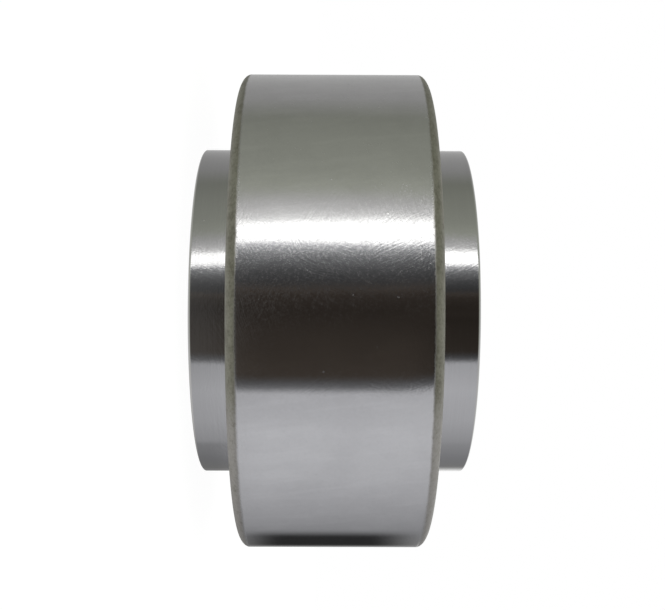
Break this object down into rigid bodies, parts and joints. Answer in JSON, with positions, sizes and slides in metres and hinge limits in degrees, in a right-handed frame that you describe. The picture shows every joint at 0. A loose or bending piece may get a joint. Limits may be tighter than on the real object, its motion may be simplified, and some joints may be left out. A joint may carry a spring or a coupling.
{
  "type": "insert bearing",
  "caption": "Sealed ball insert bearing with a plain cylindrical outer ring and an inner ring that extends beyond it on both sides.",
  "frame": {"origin": "centre of the bearing, on its axis, midway between the inner ring's end faces", "axes": "+Z along the bearing's axis, +X through the centre of ball_1"},
  "size_m": [0.085, 0.085, 0.0464],
  "materials": {
    "ring_steel": "ground bearing steel, with rough olive-brown turned corners on the outer ring",
    "ball_steel": "polished balls",
    "cage_steel": "pressed strip, lightly oiled",
    "rivet_steel": "cold headed",
    "shroud_steel": "pressed sheet, satin",
    "washer_steel": "flat pressed washer",
    "seal_rubber": "matt black nitrile rubber"
  },
  "bodies": {
    "outer": {"outer_ring": "ring_steel", "seal_shroud_upper": "shroud_steel", "seal_shroud_lower": "shroud_steel", "seal_upper": "seal_rubber", "seal_lower": "seal_rubber", "seal_washer_upper": "washer_steel", "seal_washer_lower": "washer_steel"},
    "inner": {"inner_ring": "ring_steel"},
    "cage": {"cage_half_upper": "cage_steel", "cage_half_lower": "cage_steel", "rivet_1": "rivet_steel", "rivet_2": "rivet_steel", "rivet_3": "rivet_steel", "rivet_4": "rivet_steel", "rivet_5": "rivet_steel", "rivet_6": "rivet_steel", "rivet_7": "rivet_steel", "rivet_8": "rivet_steel", "rivet_9": "rivet_steel"},
    "rolling_ball_1": {"ball_1": "ball_steel"},
    "rolling_ball_2": {"ball_2": "ball_steel"},
    "rolling_ball_3": {"ball_3": "ball_steel"},
    "rolling_ball_4": {"ball_4": "ball_steel"},
    "rolling_ball_5": {"ball_5": "ball_steel"},
    "rolling_ball_6": {"ball_6": "ball_steel"},
    "rolling_ball_7": {"ball_7": "ball_steel"},
    "rolling_ball_8": {"ball_8": "ball_steel"},
    "rolling_ball_9": {"ball_9": "ball_steel"}
  },
  "joints": [
    {"name": "inner_spin", "type": "hinge", "parent": "outer", "child": "inner", "pos_m": [0, 0, 0], "axis": [0, 0, 1], "continuous": true},
    {"name": "cage_spin", "type": "hinge", "parent": "outer", "child": "cage", "pos_m": [0, 0, 0], "axis": [0, 0, 1], "continuous": true},
    {"name": "ball_1_spin", "type": "hinge", "parent": "cage", "child": "rolling_ball_1", "pos_m": [0.0325, 0, 0], "axis": [0, 0, 1], "continuous": true},
    {"name": "ball_2_spin", "type": "hinge", "parent": "cage", "child": "rolling_ball_2", "pos_m": [0.0249, 0.02089, 0], "axis": [0, 0, 1], "continuous": true},
    {"name": "ball_3_spin", "type": "hinge", "parent": "cage", "child": "rolling_ball_3", "pos_m": [0.00564, 0.03201, 0], "axis": [0, 0, 1], "continuous": true},
    {"name": "ball_4_spin", "type": "hinge", "parent": "cage", "child": "rolling_ball_4", "pos_m": [-0.01625, 0.02815, 0], "axis": [0, 0, 1], "continuous": true},
    {"name": "ball_5_spin", "type": "hinge", "parent": "cage", "child": "rolling_ball_5", "pos_m": [-0.03054, 0.01112, 0], "axis": [0, 0, 1], "continuous": true},
    {"name": "ball_6_spin", "type": "hinge", "parent": "cage", "child": "rolling_ball_6", "pos_m": [-0.03054, -0.01112, 0], "axis": [0, 0, 1], "continuous": true},
    {"name": "ball_7_spin", "type": "hinge", "parent": "cage", "child": "rolling_ball_7", "pos_m": [-0.01625, -0.02815, 0], "axis": [0, 0, 1], "continuous": true},
    {"name": "ball_8_spin", "type": "hinge", "parent": "cage", "child": "rolling_ball_8", "pos_m": [0.00564, -0.03201, 0], "axis": [0, 0, 1], "continuous": true},
    {"name": "ball_9_spin", "type": "hinge", "parent": "cage", "child": "rolling_ball_9", "pos_m": [0.0249, -0.02089, 0], "axis": [0, 0, 1], "continuous": true}
  ],
  "couplings": [
    {"joint": "cage_spin", "follows": "inner_spin", "ratio": 0.40231},
    {"joint": "ball_1_spin", "follows": "inner_spin", "ratio": -2.4614},
    {"joint": "ball_2_spin", "follows": "inner_spin", "ratio": -2.4614},
    {"joint": "ball_3_spin", "follows": "inner_spin", "ratio": -2.4614},
    {"joint": "ball_4_spin", "follows": "inner_spin", "ratio": -2.4614},
    {"joint": "ball_5_spin", "follows": "inner_spin", "ratio": -2.4614},
    {"joint": "ball_6_spin", "follows": "inner_spin", "ratio": -2.4614},
    {"joint": "ball_7_spin", "follows": "inner_spin", "ratio": -2.4614},
    {"joint": "ball_8_spin", "follows": "inner_spin", "ratio": -2.4614},
    {"joint": "ball_9_spin", "follows": "inner_spin", "ratio": -2.4614}
  ]
}
